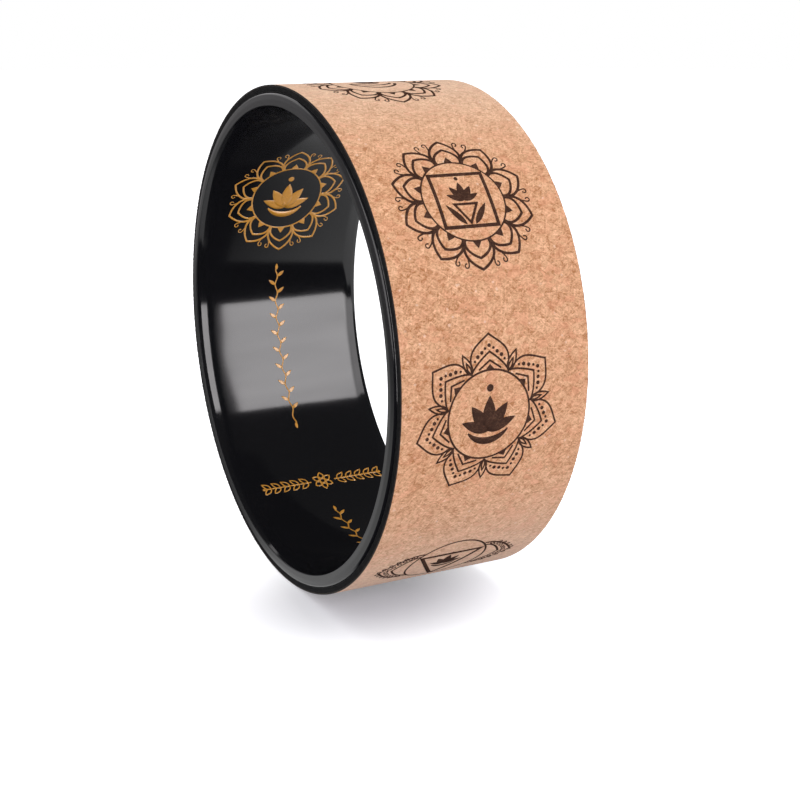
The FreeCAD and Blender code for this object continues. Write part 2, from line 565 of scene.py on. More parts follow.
@dataclass(frozen=True)
class ChipGrain:
    """The grain of pressed cork, laid flat: packed grains, short strokes, seams and flecks."""

    radius: float
    seam: float
    stroke_long: float = 5.2 * MM
    stroke_wide: float = 1.05 * MM
    large: float = 3.6 * MM
    small: float = 1.10 * MM
    stretch: float = 1.5
    bend: float = 1.1 * MM
    bend_every: float = 3.0 * MM
    blotch: float = 9.0 * MM
    dark_cell: float = 2.6 * MM
    light_cell: float = 4.4 * MM
    dark_keep: float = 0.85
    light_keep: float = 0.76
    light_mean: float = 0.62
    dark_mean: float = 0.38
    seam_patches: float = 210.0
    leans: tuple[float, ...] = (48.0, 80.0, 121.0, 160.0)

    def strip_place(self, bench: Bench, place: Socket) -> Socket:
        """Unrolls the tread: the angle from the seam times the radius, beside the place along the axis.

        Args:
            bench: The group's bench.
            place: Object coordinates.

        Returns:
            Flat coordinates in metres.
        """
        turn = bench.add("ShaderNodeVectorRotate", rotation_type="Y_AXIS")
        bench.feed(turn.inputs["Vector"], place)
        turn.inputs["Angle"].default_value = self.seam - math.pi
        x, y, z = bench.split(turn.outputs[0])
        flat = bench.add("ShaderNodeCombineXYZ")
        bench.feed(flat.inputs[0], bench.times(bench.sums("ARCTAN2", z, x), self.radius))
        bench.feed(flat.inputs[1], y)
        return flat.outputs[0]

    def strokes(self, bench: Bench, flat: Socket, pick: str, shift: float) -> Socket:
        """Short strokes at several leans: stretched noises, of which the highest or the lowest shows.

        Args:
            bench: The group's bench.
            flat: Flat coordinates.
            pick: MAXIMUM for light strokes or MINIMUM for dark ones.
            shift: Moves the noise, so that two sets differ.

        Returns:
            The strokes' value.
        """
        total = None
        for lean in self.leans:
            turn = bench.add("ShaderNodeVectorRotate", rotation_type="Z_AXIS")
            bench.feed(turn.inputs["Vector"], flat)
            turn.inputs["Angle"].default_value = math.radians(lean)
            fit = bench.add("ShaderNodeVectorMath", operation="MULTIPLY_ADD")
            bench.feed(fit.inputs[0], turn.outputs[0])
            fit.inputs[1].default_value = (1.0 / self.stroke_long, 1.0 / self.stroke_wide, 1.0)
            fit.inputs[2].default_value = (shift, 2.0 * shift, lean)
            layer = bench.noise(fit.outputs[0], 1.0, 2.0, 0.55)
            total = layer if total is None else bench.sums(pick, total, layer)
        return total

    def bent(self, bench: Bench, flat: Socket) -> Socket:
        """Moves the flat coordinates by a colour noise, so that no grain has straight edges.

        Args:
            bench: The group's bench.
            flat: Flat coordinates.

        Returns:
            The moved coordinates.
        """
        node = bench.add("ShaderNodeTexNoise")
        bench.feed(node.inputs["Vector"], flat)
        node.inputs["Scale"].default_value = 1.0 / self.bend_every
        move = bench.add("ShaderNodeVectorMath", operation="MULTIPLY_ADD")
        bench.feed(move.inputs[0], node.outputs["Color"])
        move.inputs[1].default_value = (2.0 * self.bend, 2.0 * self.bend, 0.0)
        bench.feed(move.inputs[2], flat)
        return move.outputs[0]

    def grain_place(self, bench: Bench, flat: Socket, size: float) -> Socket:
        """Coordinates that count grains of one size, longer along the axis.

        Args:
            bench: The group's bench.
            flat: Flat coordinates.
            size: Width of a grain.

        Returns:
            Coordinates in grains.
        """
        fit = bench.add("ShaderNodeVectorMath", operation="MULTIPLY")
        bench.feed(fit.inputs[0], flat)
        fit.inputs[1].default_value = (1.0 / size, 1.0 / (self.stretch * size), 0.0)
        return fit.outputs[0]

    def tints(self, bench: Bench, place: Socket) -> bpy.types.Node:
        """Three random values for each grain, as a split colour."""
        split = bench.add("ShaderNodeSeparateColor")
        bench.feed(split.inputs[0], bench.cells(place, 1.0).outputs["Color"])
        return split

    def seams(self, bench: Bench, flat: Socket, place: Socket) -> Socket:
        """Thin dark seams between large grains, which show in places only.

        Args:
            bench: The group's bench.
            flat: Flat coordinates.
            place: The large grains' coordinates.

        Returns:
            The seams' mask.
        """
        node = bench.add("ShaderNodeTexVoronoi", feature="DISTANCE_TO_EDGE")
        bench.feed(node.inputs["Vector"], place)
        node.inputs["Scale"].default_value = 1.0
        line = bench.span(node.outputs["Distance"], 0.11, 0.02)
        return bench.times(line, bench.span(bench.noise(flat, self.seam_patches), 0.50, 0.62))

    def flecks(self, bench: Bench, flat: Socket, cell: float, keep: float) -> Socket:
        """Sparse specks: the middles of those cells whose random shade passes a limit.

        Args:
            bench: The group's bench.
            flat: Flat coordinates.
            cell: Size of a cell.
            keep: The limit.

        Returns:
            The specks' mask.
        """
        node = bench.cells(flat, 1.0 / cell)
        shade = bench.add("ShaderNodeSeparateColor")
        bench.feed(shade.inputs[0], node.outputs["Color"])
        near = bench.span(node.outputs["Distance"], 0.25, 0.10)
        return bench.times(near, bench.span(shade.outputs[0], keep, keep + 0.1))

    def build(self) -> bpy.types.NodeTree:
        """Makes the shared group: shade about one half, a hue for each large grain, and masks of specks."""
        bench, given, out = new_group("chip_grain", {"Contrast": 1.0}, ("Shade", "Hue", "Dark", "Light"))
        flat = self.strip_place(bench, given["Place"])
        bent = self.bent(bench, flat)
        place = self.grain_place(bench, bent, self.large)
        large = self.tints(bench, place)
        small = self.tints(bench, self.grain_place(bench, bent, self.small))
        light = bench.minus(self.strokes(bench, flat, "MAXIMUM", 0.0), self.light_mean)
        dark = bench.minus(self.strokes(bench, flat, "MINIMUM", 37.0), self.dark_mean)
        blotches = bench.minus(bench.noise(flat, 1.0 / self.blotch, 3.0, 0.6), 0.5)
        shares = (
            (light, 1.65),
            (dark, 1.15),
            (bench.minus(large.outputs[0], 0.5), 0.15),
            (bench.minus(small.outputs[0], 0.5), 0.20),
            (blotches, 0.32),
            (self.seams(bench, flat, place), -0.22),
        )
        total = None
        for value, share in shares:
            part = bench.times(value, share)
            total = part if total is None else bench.plus(total, part)
        total = bench.times(total, given["Contrast"])
        bench.feed(out["Shade"], bench.plus(total, 0.5))
        bench.feed(out["Hue"], large.outputs[1])
        bench.feed(out["Dark"], self.flecks(bench, bent, self.dark_cell, self.dark_keep))
        bench.feed(out["Light"], self.flecks(bench, bent, self.light_cell, self.light_keep))
        return bench.tree


def soft_waver_group() -> bpy.types.NodeTree:
    """The slow waviness of a moulded wall and the faint smears on it."""
    bench, given, out = new_group("soft_waver", {}, ("Waver", "Smear"))
    bench.feed(out["Waver"], bench.noise(given["Place"], 17.0, 1.0, 0.4))
    bench.feed(out["Smear"], bench.noise(given["Place"], 46.0, 3.0, 0.6))
    return bench.tree


def bare_material(name: str) -> tuple[bpy.types.Material, Bench]:
    """A material whose tree is empty, and the bench for it."""
    material = bpy.data.materials.new(name)
    material.use_nodes = True
    material.node_tree.nodes.clear()
    return material, Bench(material.node_tree)


class Finish:
    """A material under way: its bench, its shader and its Object coordinates."""

    def __init__(self, name: str) -> None:
        """Makes the material, with a Principled shader and nothing joined to it yet."""
        self.material = bpy.data.materials.new(name)
        self.material.use_nodes = True
        self.bench = Bench(self.material.node_tree)
        self.shader = self.material.node_tree.nodes["Principled BSDF"]
        self.place = self.bench.add("ShaderNodeTexCoord").outputs["Object"]

    def set(self, **sources: object) -> None:
        """Feeds the shader's sockets, named with underscores for spaces."""
        for name, source in sources.items():
            socket = self.shader.inputs[name.replace("_", " ")]
            plain = isinstance(source, tuple) and len(source) == 3
            self.bench.feed(socket, (*source, 1.0) if plain else source)

    def group(self, tree: bpy.types.NodeTree, **values: float) -> bpy.types.Node:
        """Places a shared group, reading this material's coordinates."""
        node = self.bench.add("ShaderNodeGroup", node_tree=tree)
        self.bench.feed(node.inputs["Place"], self.place)
        for name, value in values.items():
            node.inputs[name].default_value = value
        return node


@dataclass(frozen=True)
class GlossBlack:
    """Moulded black plastic: a polished bore and lips, with satin end faces."""

    colour: Colour = (0.0060, 0.0060, 0.0072)
    polish: float = 0.075
    satin: float = 0.30
    face_at: float = 64.0 * MM
    face_fade: float = 0.5 * MM
    grains: float = 2600.0
    smear: float = 0.02
    dust: float = 0.35
    dust_shade: float = 3.2

    def build(self, waver: bpy.types.NodeTree) -> bpy.types.Material:
        """Makes the material.

        Args:
            waver: The shared waviness group.

        Returns:
            The material.
        """
        work = Finish("gloss_black_plastic")
        bench = work.bench
        along = bench.sums("ABSOLUTE", bench.split(work.place)["Y"])
        end = bench.span(along, self.face_at, self.face_at + self.face_fade)
        wave = work.group(waver)
        grain = bench.noise(work.place, self.grains, 2.0, 0.6)
        smear = bench.times(wave.outputs["Smear"], self.smear)
        rough = bench.plus(bench.times(end, self.satin - self.polish), self.polish)
        fine = bench.bump(bench.times(grain, end), 0.10, 0.05 * MM)
        dusty = tuple(self.dust_shade * c for c in self.colour)
        work.set(
            Base_Color=bench.blend(bench.times(grain, self.dust), self.colour, dusty),
            Roughness=bench.plus(rough, smear),
            IOR=PLASTIC_IOR,
            Normal=bench.bump(wave.outputs["Waver"], 0.25, 1.0 * MM, fine),
        )
        return work.material


@dataclass(frozen=True)
class CutFoam:
    """The cut edge of black foam: matt, with fine open cells."""

    colour: Colour = (0.0055, 0.0055, 0.0062)
    worn: Colour = (0.015, 0.0145, 0.015)
    cells: float = 1900.0
    mottles: float = 320.0

    def build(self) -> bpy.types.Material:
        """Makes the material."""
        work = Finish("cut_black_foam")
        bench = work.bench
        cell = bench.cells(work.place, self.cells)
        mottle = bench.noise(work.place, self.mottles, 3.0, 0.6)
        work.set(
            Base_Color=bench.blend(bench.span(mottle, 0.35, 0.75), self.colour, self.worn),
            Roughness=bench.span(mottle, 0.2, 0.8, 0.82, 0.95),
            Specular_IOR_Level=0.15,
            Normal=bench.bump(cell.outputs["Distance"], 0.5, 0.35 * MM),
        )
        return work.material


@dataclass(frozen=True)
class PressedCork:
    """Thin pressed cork: fine tan and rose chips, sparse dark and light specks, and a blackened cut edge.

    Its colour is painted paler at grazing angles, a painted sheen. Its bounce is kept neutral, so that the
    white paper round it does not turn orange.
    """

    deep: Colour = (0.46, 0.175, 0.062)
    pale: Colour = (0.98, 0.59, 0.36)
    rose: Colour = (0.80, 0.345, 0.20)
    dark_speck: Colour = (0.30, 0.125, 0.055)
    light_speck: Colour = (0.97, 0.73, 0.57)
    # painted sheen: a pale colour screened onto the base colour at grazing angles
    painted_sheen: Colour = (0.75, 0.51, 0.39)
    bounce: Colour = (0.40, 0.39, 0.43)
    cut: Colour = (0.010, 0.0085, 0.008)
    cut_from: float = 62.55 * MM
    cut_full: float = 62.90 * MM
    contrast: float = 1.0
    patches: float = 21.0
    dark_share: float = 0.55
    light_share: float = 0.48
    painted_sheen_from: float = 0.24
    painted_sheen_full: float = 0.84
    painted_sheen_share: float = 0.47
    bounce_share: float = 0.85

    def build(self, grain: bpy.types.NodeTree) -> bpy.types.Material:
        """Makes the material.

        Args:
            grain: The shared chip grain group.

        Returns:
            The material.
        """
        work = Finish("pressed_cork")
        bench = work.bench
        chips = work.group(grain, Contrast=self.contrast)
        shade = chips.outputs["Shade"]
        broad = bench.noise(work.place, self.patches)
        body = bench.blend(bench.ramp(shade, 0.16, 0.84), self.deep, self.pale)
        patch = bench.span(broad, 0.3, 0.6, 0.15, 0.38)
        hue = bench.times(bench.span(chips.outputs["Hue"], 0.45, 1.0), patch)
        rosy = bench.blend(hue, body, self.rose)
        dark = bench.times(chips.outputs["Dark"], self.dark_share)
        flecked = bench.blend(dark, rosy, self.dark_speck)
        light = bench.times(chips.outputs["Light"], self.light_share)
        specked = bench.blend(light, flecked, self.light_speck)
        # painted sheen: the base colour is screened paler towards grazing angles by the facing mask
        facing = bench.add("ShaderNodeLayerWeight").outputs["Facing"]
        sheen_painted = bench.span(facing, self.painted_sheen_from, self.painted_sheen_full, 0.0, self.painted_sheen_share)
        face = bench.blend(sheen_painted, specked, self.painted_sheen, "SCREEN")
        along = bench.sums("ABSOLUTE", bench.split(work.place)["Y"])
        edge = bench.span(along, self.cut_from, self.cut_full)
        bounced = bench.add("ShaderNodeLightPath").outputs["Is Diffuse Ray"]
        seen = bench.blend(edge, face, self.cut)
        work.set(
            Base_Color=bench.blend(bench.times(bounced, self.bounce_share), seen, self.bounce),
            Roughness=bench.ramp(shade, 0.2, 0.8, 0.90, 0.76),
            Specular_IOR_Level=0.2,
            Sheen_Weight=0.15,
            Sheen_Roughness=0.40,
            Normal=bench.bump(shade, 0.22, 0.15 * MM),
        )
        return work.material


@dataclass(frozen=True)
class PrintInk:
    """Dark brown ink that lets the cork's grain show a little."""

    colour: Colour = (0.039, 0.016, 0.009)
    thin: Colour = (0.130, 0.058, 0.035)
    thin_share: float = 0.8
    contrast: float = 1.0

    def build(self, grain: bpy.types.NodeTree) -> bpy.types.Material:
        """Makes the material.

        Args:
            grain: The shared chip grain group.

        Returns:
            The material.
        """
        work = Finish("brown_print_ink")
        bench = work.bench
        shade = work.group(grain, Contrast=self.contrast).outputs["Shade"]
        missed = bench.ramp(shade, 0.40, 0.85, 0.0, self.thin_share)
        work.set(
            Base_Color=bench.blend(missed, self.colour, self.thin),
            Roughness=bench.ramp(shade, 0.2, 0.8, 0.72, 0.86),
            Specular_IOR_Level=0.1,
            Normal=bench.bump(shade, 0.3, 0.15 * MM),
        )
        return work.material


@dataclass(frozen=True)
class GoldInk:
    """Gold screen ink on the bore, a little uneven, under the same clear gloss as the plastic.

    The bore mirrors itself near its top, where the real one stays black, so the ink is dark in mirrors.
    """

    colour: Colour = (0.92, 0.42, 0.050)
    thin: Colour = (0.72, 0.30, 0.036)
    mirrored: Colour = (0.02, 0.012, 0.006)
    gloss: float = 0.08
    specks: float = 1800.0

    def build(self, waver: bpy.types.NodeTree) -> bpy.types.Material:
        """Makes the material.

        Args:
            waver: The shared waviness group.

        Returns:
            The material.
        """
        work = Finish("gold_print_ink")
        bench = work.bench
        wave = work.group(waver)
        speck = bench.noise(work.place, self.specks, 3.0, 0.6)
        ink = bench.blend(bench.span(speck, 0.40, 0.72), self.colour, self.thin)
        mirror = bench.add("ShaderNodeLightPath").outputs["Is Glossy Ray"]
        work.set(
            Base_Color=bench.blend(mirror, ink, self.mirrored),
            Roughness=bench.span(wave.outputs["Smear"], 0.2, 0.8, 0.34, 0.46),
            Specular_IOR_Level=0.3,
            Coat_Weight=1.0,
            Coat_Roughness=self.gloss,
            Coat_IOR=PLASTIC_IOR,
            Normal=bench.bump(speck, 0.12, 0.08 * MM),
        )
        return work.material


@dataclass(frozen=True)
class GlueLayer:
    """A thin adhesive layer, seen only as a dark line at the tread's edge."""

    name: str
    colour: Colour
    streak: Colour
    smears: float = 380.0

    def build(self) -> bpy.types.Material:
        """Makes the material."""
        work = Finish(self.name)
        bench = work.bench
        smear = bench.noise(work.place, self.smears, 3.0, 0.6)
        work.set(
            Base_Color=bench.blend(bench.span(smear, 0.35, 0.7), self.colour, self.streak),
            Roughness=bench.span(smear, 0.2, 0.8, 0.55, 0.8),
            Normal=bench.bump(smear, 0.2, 0.1 * MM),
        )
        return work.material


# The wheel's layers

@dataclass(frozen=True)
class WheelSizes:
    """The wheel's sizes: the part's own, but for the mouth and the roundings, which follow the reflections.

    The pad and the cork take up the part's glue lines beside them.
    """

    tread: float = 165.0 * MM
    tread_half: float = 63.0 * MM
    cork_round: float = 0.25 * MM
    film_out: float = 164.2 * MM
    film_in: float = 164.05 * MM
    tape_out: float = 160.65 * MM
    core: float = 160.25 * MM
    core_half: float = 65.0 * MM
    crown: float = 155.65 * MM
    crown_round: float = 8.0 * MM
    lip_fall: float = 0.9 * MM
    lip_round: float = 2.0 * MM
    mouth: float = 152.2 * MM
    mouth_round: float = 0.4 * MM
    mouth_foot: float = 55.6 * MM
    mouth_lean: float = math.radians(11.5)
    mouth_blend: float = 24.0 * MM
    knee_at: float = 62.0 * MM
    knee_round: float = 9.0 * MM
    bore: float = 149.8 * MM
    cork_seam: float = math.radians(197.5)
    pad_seam: float = math.radians(152.5)
    cork_gap: float = 0.3 * MM
    pad_gap: float = 0.4 * MM


def rounded(before: tuple, corner: tuple, after: tuple, radius: float, count: int) -> Array:
    """A corner between two straight lines, rounded by an arc that touches both.

    The arc starts the radius times the tangent of half the turn away from the corner, and its middle stands
    the radius to the inner side of the first line there.

    Args:
        before: A point on the first line.
        corner: Where the lines meet.
        after: A point on the second line.
        radius: The arc's radius.
        count: How many points to return.

    Returns:
        Points on the arc, one row each.
    """
    spot = np.array(corner, float)
    come = spot - np.array(before, float)
    go = np.array(after, float) - spot
    come, go = come / np.linalg.norm(come), go / np.linalg.norm(go)
    turn = math.atan2(come[0] * go[1] - come[1] * go[0], float(come @ go))
    side = math.copysign(1.0, turn)
    start = spot - come * radius * math.tan(abs(turn) / 2)
    middle = start + side * radius * np.array([-come[1], come[0]])
    first = math.degrees(math.atan2(*(start - middle)[::-1]))
    return arc(tuple(middle), radius, first, first + math.degrees(turn), count)


@dataclass
class Hoop:
    """The moulded hoop: a straight bore with coned mouths, satin ends that slope off, and rounded lips."""

    sizes: WheelSizes
    around: int = 480

    def half_profile(self) -> Array:
        """Half the section, from the middle of the bore round the +Y end to the middle of the outside.

        Its corners are those of the bore, the mouth's cone and knee, the end face, the crown and the lip.
        Each is rounded by an arc, and each straight stretch has points close to both its ends so that its
        shading stays even.

        Returns:
            Points (along the axis, radius).
        """
        s = self.sizes
        corners = [
            (0.0, s.bore),
            (s.mouth_foot, s.bore),
            (s.knee_at, s.bore + (s.knee_at - s.mouth_foot) * math.tan(s.mouth_lean)),
            (s.core_half, s.mouth),
            (s.core_half, s.crown),
            (s.core_half - s.lip_fall, s.core),
            (0.0, s.core),
        ]
        mouth = ((s.mouth_blend, 10), (s.knee_round, 6), (s.mouth_round, 8))
        rounds = (*mouth, (s.crown_round, 8), (s.lip_round, 14))
        arcs = [rounded(*corners[k : k + 3], *bend) for k, bend in enumerate(rounds)]
        ends = [np.array([corners[0]]), *arcs, np.array([corners[-1]])]
        shares = np.array([0.04, 0.15, 0.5, 0.85, 0.96])[:, None]
        runs = [a[-1] + (b[0] - a[-1]) * shares for a, b in zip(ends, ends[1:])]
        pieces = [ends[0]]
        for run, bend in zip(runs, ends[1:]):
            pieces += [run, bend]
        return np.vstack(pieces)

    def build(self, finish: bpy.types.Material) -> bpy.types.Object:
        """Turns the section about the axis.

        Args:
            finish: The hoop's material.

        Returns:
            The hoop.
        """
        half = self.half_profile()
        other = half[::-1] * np.array([-1.0, 1.0])
        profile = np.vstack([half, other[1:-1]])
        angles = np.linspace(0.0, 2 * math.pi, self.around, endpoint=False)
        hoop = new_object("gloss_hoop", *lathe(profile, angles, True))
        smooth(hoop)
        hoop.data.materials.append(finish)
        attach(hoop, ROOT)
        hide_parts("core_ring")
        return hoop


@dataclass
class WoundStrip:
    """A strip wound once round the wheel, with a butt seam and wavering cut edges."""

    name: str
    node: str
    slot: str
    inner: float
    outer: float
    half_width: float
    edge_round: float
    seam: float
    gap: float
    waver: float
    bulge: float
    seed: int
    around: int = 900
    waves: tuple[int, int] = (25, 620)
    edge_zone: float = 3.0 * MM
    dip: float = 0.18 * MM
    dip_reach: float = 0.5 * MM
    seam_turn: float = 0.03

    def angles(self) -> Array:
        """Angles from one end of the strip to the other, closer together next to the seam."""
        reach = self.gap / self.outer / 2
        close = np.array([0.0, 0.15, 0.35, 0.6, 1.0, 1.6, 2.6]) * MM / self.outer
        first, last = self.seam + reach, self.seam + 2 * math.pi - reach
        middle = np.linspace(first + self.seam_turn, last - self.seam_turn, self.around)
        return np.concatenate([first + close, middle, (last - close)[::-1]])

    def build(self, finish: bpy.types.Material) -> bpy.types.Object:
        """Carries a rounded strip section round the wheel.

        The section's edges move in and out by a ripple of the angle, its outer corners are rounded, its edges
        bulge by a half sine of the height, and the outside dips a little into the seam.

        Args:
            finish: The strip's material.

        Returns:
            The strip.
        """
        turn = self.angles()
        r, q = self.edge_round, self.half_width
        across = np.linspace(-0.97, 0.97, 25) * (q - r)
        up = arc((q - r, self.outer - r), r, 0.0, 90.0, 6)
        share = np.linspace(0.0, 1.0, 5)
        side = np.column_stack([np.full(5, q), np.linspace(self.inner, self.outer - r, 5)])
        side[:, 0] += self.bulge * np.sin(math.pi * share)
        right = np.vstack([side, up[1:]])
        left = right[::-1] * np.array([-1.0, 1.0])
        top = np.column_stack([across[::-1], np.full(len(across), self.outer)])
        bottom = np.column_stack([across, np.full(len(across), self.inner)])
        profile = np.vstack([bottom, right, top, left])
        loop = np.repeat(profile[None], len(turn), axis=0)
        edge = np.clip((np.abs(profile[:, 0]) - (q - self.edge_zone)) / self.edge_zone, 0.0, 1.0)
        for sign, seed in ((1.0, self.seed), (-1.0, self.seed + 1)):
            on = edge * (np.sign(profile[:, 0]) == sign)
            loop[:, :, 0] += sign * self.waver * ripple(turn, seed, *self.waves)[:, None] * on
        away = np.minimum(turn - turn[0], turn[-1] - turn) * self.outer
        dip = self.dip * np.exp(-away / self.dip_reach)
        on_top = profile[:, 1] > self.outer - 0.6 * r
        loop[:, :, 1] -= dip[:, None] * on_top * min(1.0, (self.outer - self.inner) / MM)
        strip = new_object(self.name, *lathe(loop, turn, False))
        smooth(strip)
        strip.data.materials.append(finish)
        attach(strip, ROOT)
        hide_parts(self.node)
        return strip


# Printed ornament

class Motif(Enum):
    """What stands in a medallion's ring."""

    SQUARE = "square"
    LOTUS = "lotus"
    TRIANGLE = "triangle"
    STAR = "star"
    CRESCENT = "crescent"


def both_sides(half: Array) -> Array:
    """A half outline that ends on the middle line, followed by its mirror image."""
    return joined(half, flipped(half))


def solid(half: Array) -> Patch:
    """A filled shape from a half outline that ends on the middle line."""
    return Patch(both_sides(half))


def polygon(corners: Array, width: float) -> Line:
    """A closed line through the corners."""
    sides = [straight(a, b) for a, b in zip(corners, np.roll(corners, -1, axis=0))]
    return Line(joined(*sides)[:-1], width, True)


def lotus_marks(scale: float, lift: float = 0.0, dish: bool = True) -> list[Mark]:
    """A bold lotus: five filled petals fanned from one foot, with a curved dish under them and a dot above.

    Args:
        scale: Half its width, in millimetres.
        lift: How far its middle stands above the design's.
        dish: Whether it has the dish.

    Returns:
        Its marks.
    """
    foot = np.array([0.0, lift - 0.52 * scale])
    fan = {0: (1.26, 0.27), 36: (1.18, 0.25), -36: (1.18, 0.25), 68: (1.12, 0.20), -68: (1.12, 0.20)}
    marks: list[Mark] = []
    for lean, (length, half) in fan.items():
        marks.append(Patch(turned(leaf(length * scale, half * scale), lean) + foot))
    marks.append(dot(0.0, lift + 1.00 * scale, 0.13 * scale))
    if dish:
        curve = arc((0.0, foot[1] + 0.66 * scale), 1.0 * scale, 220.0, 320.0, 26)
        swell = 0.06 + 0.20 * np.sin(np.linspace(0.0, math.pi, 26))
        marks.append(Line(curve, swell * scale))
    return marks


@dataclass(frozen=True)
class Medallion:
    """A lotus wheel in millimetres: a ring with a motif inside, petals round it and fillings between them."""

    petals: int = 10
    motif: Motif = Motif.LOTUS
    ring: float = 26.7
    ring_line: float = 1.05
    bold: float = 1.75
    fine: float = 0.85
    first: float = 0.0

    def petal_marks(self) -> list[Mark]:
        """One petal, pointing up."""
        return []

    def gap_marks(self) -> list[Mark]:
        """What fills one gap, pointing up."""
        return []

    def spots(self, radius: float, angles: tuple[float, ...]) -> Array:
        """Points on a circle about the middle, at angles in degrees."""
        turn = np.radians(angles)
        return radius * np.column_stack([np.cos(turn), np.sin(turn)])

    def ring_marks(self) -> list[Mark]:
        """The ring and the motif inside it."""
        circle = arc((0.0, 0.0), self.ring, 0.0, 357.0, 120)
        marks: list[Mark] = [Line(circle, self.ring_line, True)]
        if self.motif is Motif.SQUARE:
            reach = self.ring - 1.9
            marks.append(polygon(self.spots(reach, (45.0, 135.0, 225.0, 315.0)), 2.25))
            marks.append(polygon(np.array([(-7.4, -3.0), (7.4, -3.0), (0.0, -15.2)]), 1.6))
            marks += lotus_marks(10.0, 4.6, False)
            for lean in (38.0, -38.0):
                marks.append(Patch(turned(leaf(17.0, 2.0), lean) + np.array([-0.075 * lean, -16.2])))
        elif self.motif is Motif.LOTUS:
            marks += lotus_marks(0.64 * self.ring, -0.03 * self.ring)
        elif self.motif is Motif.CRESCENT:
            low = arc((0.0, 0.11 * self.ring), 0.60 * self.ring, 190.0, 350.0, 48)
            high = arc((0.0, 0.40 * self.ring), 0.62 * self.ring, 212.0, 328.0, 40)
            marks += [Line(low, 2.0), Line(high, 1.8)]
            marks += lotus_marks(0.36 * self.ring, 0.36 * self.ring)
        elif self.motif is Motif.TRIANGLE:
            corners = 0.97 * self.ring * np.array([(0.81, 0.43), (-0.81, 0.43), (0.0, -1.0)])
            marks.append(polygon(corners, 2.6))
            marks += lotus_marks(0.40 * self.ring, 0.04 * self.ring)
        else:
            corners = self.spots(self.ring - 1.6, (30.0, 150.0, 270.0))
            marks += [polygon(corners, 1.9), polygon(-corners, 1.9)]
            marks += lotus_marks(0.36 * self.ring, 0.02 * self.ring)
        return marks

    def marks(self) -> list[Mark]:
        """Every mark of the medallion, about its own middle with its first petal up."""
        step = 360.0 / self.petals
        everything = self.ring_marks()
        for k in range(self.petals):
            everything += [m.turned(self.first + k * step) for m in self.petal_marks()]
            everything += [m.turned(self.first + (k + 0.5) * step) for m in self.gap_marks()]
        return everything


@dataclass(frozen=True)
class CurlMedallion(Medallion):
    """Rounded petals with two bold outlines and a seed, and a pair of curls in each gap."""

    tip: float = 43.9
    inner_tip: float = 37.1

    def outline(self, foot: float, top: float, share: float) -> Line:
        """A petal's outline: a cubic curve that bulges above its heavier foot and ends in a point.

        Args:
            foot: Radius where it starts.
            top: Radius of its tip.
            share: How much of the half gap angle it takes.

        Returns:
            The line.
        """
        lean = math.radians(180.0 / self.petals * share)
        x, y = foot * math.sin(lean), foot * math.cos(lean)
        high = top - y
        half = bezier((x, y), (1.23 * x, y + 0.44 * high), (0.68 * x, y + 0.80 * high), (0.0, top), 22)
        path = both_sides(half)
        t = np.abs(np.linspace(-1.0, 1.0, len(path)))
        return Line(path, self.bold * (0.92 + 0.30 * t**4))

    def petal_marks(self) -> list[Mark]:
        """Two outlines and a seed on the ring."""
        foot = self.ring - 0.3
        wide = min(2.9, 0.35 * self.ring * math.sin(math.pi / self.petals))
        seed = bezier((wide, foot), (0.8 * wide, foot + 1.9), (0.4 * wide, foot + 3.1), (0.0, foot + 4.8), 10)
        return [
            self.outline(self.ring + 3.3, self.tip, 1.0),
            self.outline(self.ring + 0.5, self.inner_tip, 0.95),
            solid(seed),
        ]

    def gap_marks(self) -> list[Mark]:
        """Two thin stalks from the valley, each with a hook turned in towards the other."""
        foot = self.ring + 4.3
        stalk = bezier((0.3, foot), (0.8, foot + 4.5), (4.0, foot + 6.5), (4.3, foot + 11.2), 14)
        hook = arc((3.0, foot + 11.2), 1.3, 0.0, 235.0, 14)
        path = joined(stalk, hook)
        width = np.linspace(1.15 * self.fine, 0.9 * self.fine, len(path))
        end = path[-1]
        marks: list[Mark] = []
        for sign in (1.0, -1.0):
            mirror = np.array([sign, 1.0])
            marks += [Line(path * mirror, width), dot(sign * end[0], end[1], 0.62 * self.fine)]
        return marks


@dataclass(frozen=True)
class BeadMedallion(Medallion):
    """Pointed petals with an outline, two chevrons, a triangle and a row of beads; leaves between them."""

    ring: float = 27.2
    ring_line: float = 1.25
    bold: float = 1.15

    def across(self, *points: tuple[float, float]) -> list[tuple[float, float]]:
        """Points drawn for seven petals, made narrower or wider for another number."""
        share = math.tan(math.pi / self.petals) / math.tan(math.pi / 7)
        return [(share * x, y) for x, y in points]

    def petal_marks(self) -> list[Mark]:
        """The outline, the chevrons, the triangle and the beads."""
        outline = bezier(*self.across((11.8, 28.5), (15.5, 39.5), (6.5, 42.8), (0.0, 48.0)))
        outer = bezier(*self.across((11.7, 26.8), (9.6, 30.4), (4.6, 34.6), (0.0, 37.7)))
        inner = bezier(*self.across((7.4, 27.6), (5.0, 29.4), (2.4, 31.0), (0.0, 32.7)))
        marks: list[Mark] = [Line(both_sides(half), self.bold) for half in (outline, outer, inner)]
        marks.append(solid(straight(*self.across((3.2, self.ring), (0.0, 30.6)), 1.0)))
        beads = self.across((9.9, 32.8), (7.9, 35.3), (5.1, 37.5), (2.8, 39.7), (0.0, 41.3))
        for (x, y), size in zip(beads, (0.82, 1.2, 1.15, 0.86, 1.15)):
            marks += [dot(sign * x, y, size) for sign in ((1.0, -1.0) if x else (1.0,))]
        return marks

    def gap_marks(self) -> list[Mark]:
        """A pointed leaf with a smaller one inside it."""
        big, small = leaf(12.8, 2.5, self.ring + 1.0), leaf(6.8, 1.05, self.ring + 1.8)
        return [Line(big, 0.95 * self.bold, True), Line(small, 0.85 * self.bold, True)]


